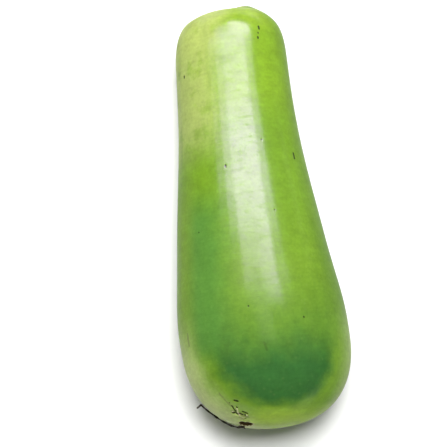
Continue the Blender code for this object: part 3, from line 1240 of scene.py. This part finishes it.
@dataclass(frozen=True)
class WitheredFlower:
    """The dry flower: a twisted thread from the scar to a hooked tip, with curled shreds at its root."""

    form: GourdForm
    pose: Matrix
    root: tuple[float, float] = (0.0137, math.radians(158))
    bend: tuple[float, float] = (0.0770, math.radians(181))
    sag: float = math.radians(22)
    bend_along: float = 0.82
    creep: float = 1.6
    standoff: float = 0.0011
    hook_length: float = 0.0034
    half_width: float = 0.00066
    half_thickness: float = 0.00050
    turns: float = 3.5
    rings: int = 150
    around: int = 18
    shreds: int = 5
    shred_rings: int = 28
    shred_length: float = 0.0034
    shred_width: float = 0.00075
    shred_thickness: float = 0.00012

    def build(self) -> bpy.types.Object:
        """Make the thread and its shreds as one mesh and dress it.

        Returns:
            The piece, which stands for the blossom_remnant node.
        """
        strands = [self._strand(self._thread_route(), self.half_width, self.half_thickness, self.turns)]
        for number in range(self.shreds):
            route, curl = self._shred_route(number), 0.45 + 0.15 * number
            strands.append(self._strand(route, self.shred_width, self.shred_thickness, curl))
        mesh = bpy.data.meshes.new("withered_flower")
        with opened(mesh) as work:
            for strand in strands:
                work.from_mesh(strand)
                bpy.data.meshes.remove(strand)
        piece = add_piece(mesh, self.pose, WitheredFinish().material(self.pose))
        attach(piece, ROOT_BODY)
        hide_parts("blossom_remnant")
        return piece

    def _thread_route(self) -> list[Vector]:
        """Middle line of the thread.

        Returns:
            Points from the root to the free tip.
        """
        route = []
        for step in range(self.rings):
            along = step / (self.rings - 1)
            crawl = min(1.0, along / self.bend_along)
            hook = max(0.0, along - self.bend_along) / (1 - self.bend_along)
            share = self.root[0] + (self.bend[0] - self.root[0]) * crawl**self.creep
            sag = self.sag * math.sin(math.pi * crawl)
            angle = self.root[1] + (self.bend[1] - self.root[1]) * crawl + sag
            middle, out, around = self.form.place(share, angle)
            wander = 0.25 * MM * math.sin(23 * along) * min(1.0, 5 * along)
            lift = self.standoff - 0.0007 * (1 - min(1.0, along / 0.1)) + self.hook_length * hook
            route.append(middle + lift * out + (wander - 0.0009 * hook * hook) * around)
        return route

    def _shred_route(self, number: int) -> list[Vector]:
        """Middle line of one curled shred at the root of the thread.

        Args:
            number: which shred.

        Returns:
            Points from its root to its curled tip.
        """
        middle, out, around = self.form.place(*self.root)
        sideways = out.cross(around)
        heading = math.radians(150 + 52 * number)
        way = math.cos(heading) * around + math.sin(heading) * sideways
        length = self.shred_length * (0.65 + 0.12 * number)
        route = []
        for step in range(self.shred_rings):
            along = step / (self.shred_rings - 1)
            lift = 0.0003 + 0.0011 * math.sin(2.2 * along + 0.3 * number) * along
            route.append(middle + way * length * along * (1 - 0.25 * along) + out * lift)
        return route

    def _strand(
        self, route: Sequence[Vector], width: float, thickness: float, turns: float
    ) -> bpy.types.Mesh:
        """A flat twisted strand along a route, closed at both ends.

        Args:
            route: its middle line.
            width: half its width in metres.
            thickness: half its thickness in metres.
            turns: how many times it twists.

        Returns:
            The mesh.
        """
        rings = []
        count = len(route)
        side = Vector((0, 0, 1))
        for index, middle in enumerate(route):
            ahead = (route[min(index + 1, count - 1)] - route[max(index - 1, 0)]).normalized()
            side = (side - side.dot(ahead) * ahead).normalized()
            other = ahead.cross(side)
            along = index / (count - 1)
            taper = math.sqrt(max(1e-4, min(1.0, 12 * along) * min(1.0, 30 * (1 - along))))
            taper *= 1 + 0.35 * max(0.0, along - 0.8) / 0.2
            pinch = 0.85 + 0.22 * math.sin(31 * along) * math.sin(7 * along + 1)
            ring = []
            for step in range(self.around):
                turn = 2 * math.pi * step / self.around
                flat = Vector((math.cos(turn) * width, math.sin(turn) * thickness)) * taper * pinch
                twist = 2 * math.pi * turns * along
                across = flat.x * math.cos(twist) - flat.y * math.sin(twist)
                above = flat.x * math.sin(twist) + flat.y * math.cos(twist)
                ring.append(middle + across * side + above * other)
            rings.append(ring)
        return closed_loft("strand", np.array(rings, float), (route[0], route[-1]))


# Studio ------------------------------------------------------


@dataclass(frozen=True)
class SoftBox:
    """A rectangular studio light, placed in the fruit's own frame in metres and facing the table.

    Fields:
        name: its name.
        place: where its middle is over the table.
        size: width and depth.
        glow: brightness of its face, 1 being white.
        height: how high it hangs.
        aim: the place on the table it faces, if not the one right under it.
        mirrored: whether it shows as a sheen and leaves matt colours alone, or the other way round.
        colour: its tint; a little rose keeps a sheen on green skin neutral.
    """

    name: str
    place: tuple[float, float]
    size: tuple[float, float]
    glow: float
    height: float = 0.70
    aim: tuple[float, float] | None = None
    mirrored: bool = True
    colour: Colour = (0.86, 0.61, 1.05)

    def build(self, pose: Matrix) -> bpy.types.Object:
        """Hang the light.

        Args:
            pose: matrix from the fruit's own frame to the ground's.

        Returns:
            The light.
        """
        data = bpy.data.lights.new(self.name, "AREA")
        data.shape = "RECTANGLE"
        data.size, data.size_y = self.size
        data.energy = self.glow * math.pi * self.size[0] * self.size[1]
        light = bpy.data.objects.new(self.name, data)
        place = pose @ Vector((*self.place, self.height))
        aim = pose @ Vector((*(self.aim or self.place), 0.0))
        light.matrix_world = Matrix.Translation(place) @ facing(aim - place, Vector((0, 1, 0)))
        data.color = self.colour if self.mirrored else (1.0, 1.0, 1.0)
        light.visible_camera = False
        light.visible_glossy = self.mirrored
        light.visible_diffuse = not self.mirrored
        bpy.context.scene.collection.objects.link(light)
        return light


def facing(way: Vector, up: Vector) -> Matrix:
    """Rotation that turns -Z to a direction with +Y as near as it can be to another.

    Args:
        way: where -Z points.
        up: where +Y leans.

    Returns:
        A 4 by 4 rotation.
    """
    back = -way.normalized()
    right = up.cross(back).normalized()
    return Matrix((right, back.cross(right), back)).transposed().to_4x4()


@dataclass(frozen=True)
class Viewpoint:
    """The camera, set in the fruit's own frame: it looks steeply down on the fruit from the blossom side."""

    sight_angle: float = math.radians(79.95)
    distance: float = 0.8216
    lean: float = math.radians(7.175)
    aim_across: float = -0.0176
    aim_along: float = -0.0040
    field: float = math.radians(18.75)

    def build(self, pose: Matrix) -> bpy.types.Object:
        """Set the camera up and make it the scene's.

        Args:
            pose: matrix from the fruit's own frame to the ground's.

        Returns:
            The camera.
        """
        sight = Vector((0, math.cos(self.sight_angle), -math.sin(self.sight_angle)))
        level_up = Vector((0, math.sin(self.sight_angle), math.cos(self.sight_angle)))
        right = math.cos(self.lean) * Vector((1, 0, 0)) - math.sin(self.lean) * level_up
        up = math.sin(self.lean) * Vector((1, 0, 0)) + math.cos(self.lean) * level_up
        eye = -self.distance * sight
        aim = self.aim_across * right + self.aim_along * up
        data = bpy.data.cameras.new("camera")
        data.sensor_width = 36.0
        data.angle = self.field
        camera = bpy.data.objects.new("camera", data)
        turned = pose.to_3x3()
        camera.matrix_world = Matrix.Translation(pose @ eye) @ facing(turned @ (aim - eye), turned @ up)
        bpy.context.scene.collection.objects.link(camera)
        bpy.context.scene.camera = camera
        return camera


@dataclass(frozen=True)
class Studio:
    """Pale floor, dim surroundings and soft lights."""

    pose: Matrix
    floor_half: float = 1.1
    surround: float = 0.12
    backdrop: float = 1.0
    boxes: tuple[SoftBox, ...] = (
        SoftBox("key_softbox", (0.135, 0.45), (0.69, 0.26), 12.5),
        SoftBox("key_right_edge", (0.63, 0.49), (0.30, 0.22), 6.0),
        SoftBox("key_left_edge", (-0.315, 0.46), (0.21, 0.24), 8.5),
        SoftBox("key_left_end", (-0.56, 0.52), (0.28, 0.16), 5.0),
        SoftBox("key_near", (0.11, 0.285), (0.64, 0.07), 8.0),
        SoftBox("key_near_edge", (0.30, 0.21), (0.36, 0.08), 2.5),
        SoftBox("key_far", (0.44, 0.83), (0.84, 0.50), 14.0),
        SoftBox("key_far_left", (-0.20, 0.72), (0.44, 0.28), 6.0),
        SoftBox("overhead_panel", (0.12, 0.19), (0.55, 0.55), 40.0, 1.50, (0.0, 0.0), mirrored=False),
    )

    def build(self) -> None:
        """Lay the floor, set the surroundings and hang the lights."""
        self._floor()
        self._surroundings()
        for box in self.boxes:
            box.build(self.pose)
        bpy.context.scene.view_settings.view_transform = "Standard"

    def _floor(self) -> None:
        """Lay the floor under the gourd."""
        mesh = bpy.data.meshes.new("floor")
        with opened(mesh) as work:
            bmesh.ops.create_grid(work, x_segments=8, y_segments=8, size=self.floor_half)
        level = Matrix.Identity(4)
        add_piece(mesh, level, FloorFinish().material(level))

    def _surroundings(self) -> None:
        """Light the room: dim grey for the gourd to reflect, pale where the camera looks past the floor."""
        world = bpy.data.worlds.new("room")
        world.use_nodes = True
        nodes, links = world.node_tree.nodes, world.node_tree.links
        seen = nodes.new("ShaderNodeLightPath")
        level = nodes.new("ShaderNodeMapRange")
        level.inputs["To Min"].default_value = self.surround
        level.inputs["To Max"].default_value = self.backdrop
        links.new(seen.outputs["Is Camera Ray"], level.inputs["Value"])
        links.new(level.outputs[0], nodes["Background"].inputs["Strength"])
        nodes["Background"].inputs["Color"].default_value = (1.0, 1.0, 1.0, 1.0)
        bpy.context.scene.world = world


# Assembly ----------------------------------------------------


def main() -> None:
    """Build the gourd's pieces in order, then the studio and the camera, and report each piece."""
    logging.basicConfig(level=logging.INFO, format="%(name)s: %(message)s")
    form = GourdForm()
    pose = form.lying_pose(*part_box("fruit"))
    for assembly in (Fruit(form, pose), StalkStub(form, pose), WitheredFlower(form, pose)):
        piece = assembly.build()
        triangles = sum(len(face.vertices) - 2 for face in piece.data.polygons)
        LOG.info("%s: %d triangles", piece.name, triangles)
    Studio(pose).build()
    Viewpoint().build(pose)


if __name__ == "__main__":
    main()
